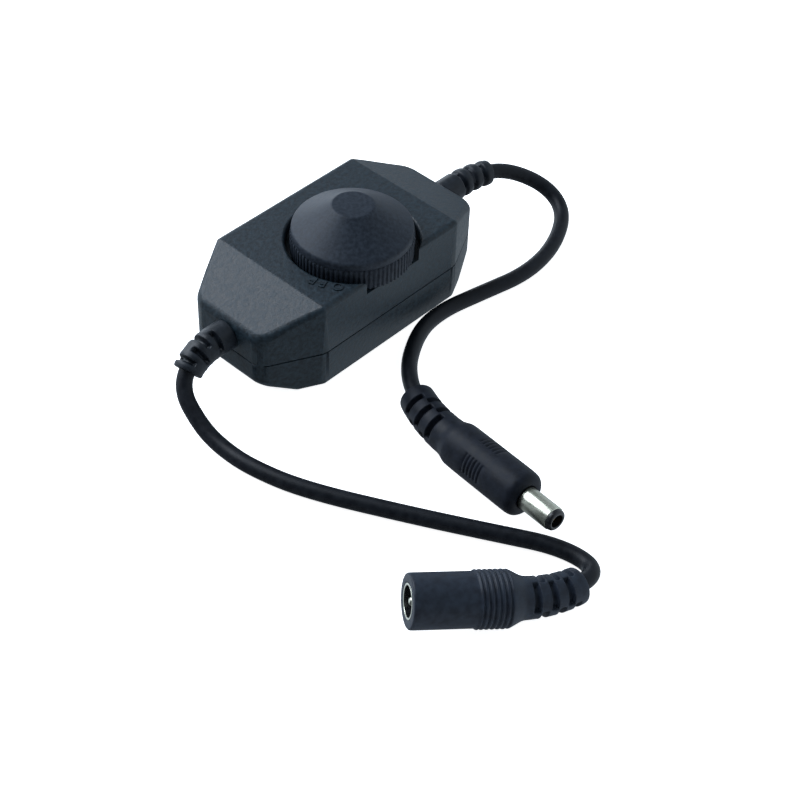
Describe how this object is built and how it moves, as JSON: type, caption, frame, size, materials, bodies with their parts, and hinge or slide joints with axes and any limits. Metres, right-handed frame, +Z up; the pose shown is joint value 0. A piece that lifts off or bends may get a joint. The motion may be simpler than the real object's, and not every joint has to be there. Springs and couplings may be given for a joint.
{
  "type": "led strip dimmer",
  "caption": "Inline rotary dimmer for a low-voltage LED strip: black case with a ridged thumb knob, a barrel jack on the input cord and a barrel plug on the output cord.",
  "frame": {"origin": "middle of the case's base, on the surface it rests on", "axes": "+X along the case towards the output cord, +Z up, -Y the long side where the knob's edge shows"},
  "size_m": [0.1341, 0.1224, 0.0341],
  "materials": {
    "case_plastic": "fine mottled moulded texture",
    "knob_plastic": "smooth satin cone over a ridged band",
    "shaft_plastic": "smooth",
    "pot_phenolic": "smooth moulded",
    "track_carbon": "printed",
    "plate_steel": "plated sheet",
    "screw_steel": "zinc plated",
    "contact_brass": "plain",
    "board_laminate": "coated",
    "chip_epoxy": "moulded",
    "can_aluminium": "drawn can",
    "lead_insulation": "extruded",
    "boot_vinyl": "moulded, slightly satin",
    "grip_vinyl": "moulded, satin",
    "cord_vinyl": "extruded, soft sheen",
    "plated_nickel": "bright turned",
    "insulator_plastic": "moulded"
  },
  "bodies": {
    "case": {"upper_shell": "case_plastic", "lower_shell": "case_plastic", "case_screws": "screw_steel", "pot_track": "track_carbon", "pot_body": "pot_phenolic", "pot_plate": "plate_steel", "pot_pins": "contact_brass", "circuit_board": "board_laminate", "timer_chip": "chip_epoxy", "power_transistor": "chip_epoxy", "transistor_tab": "plate_steel", "capacitor": "can_aluminium", "diode": "chip_epoxy", "resistors": "chip_epoxy", "input_leads": "lead_insulation", "output_leads": "lead_insulation", "input_boot": "boot_vinyl", "output_boot": "boot_vinyl", "input_cord": "cord_vinyl", "output_cord": "cord_vinyl", "plug_body": "grip_vinyl", "plug_barrel": "plated_nickel", "plug_insulator": "insulator_plastic", "plug_contact": "contact_brass", "jack_body": "grip_vinyl", "jack_sleeve": "plated_nickel", "jack_base": "insulator_plastic", "jack_pin": "plated_nickel"},
    "knob": {"knob": "knob_plastic", "pot_shaft": "shaft_plastic", "pot_wiper": "contact_brass"}
  },
  "joints": [
    {"name": "knob_turn", "type": "hinge", "parent": "case", "child": "knob", "pos_m": [0, -0.0047, 0.0241], "axis": [0, 0, -1], "range_deg": [0, 280]}
  ]
}
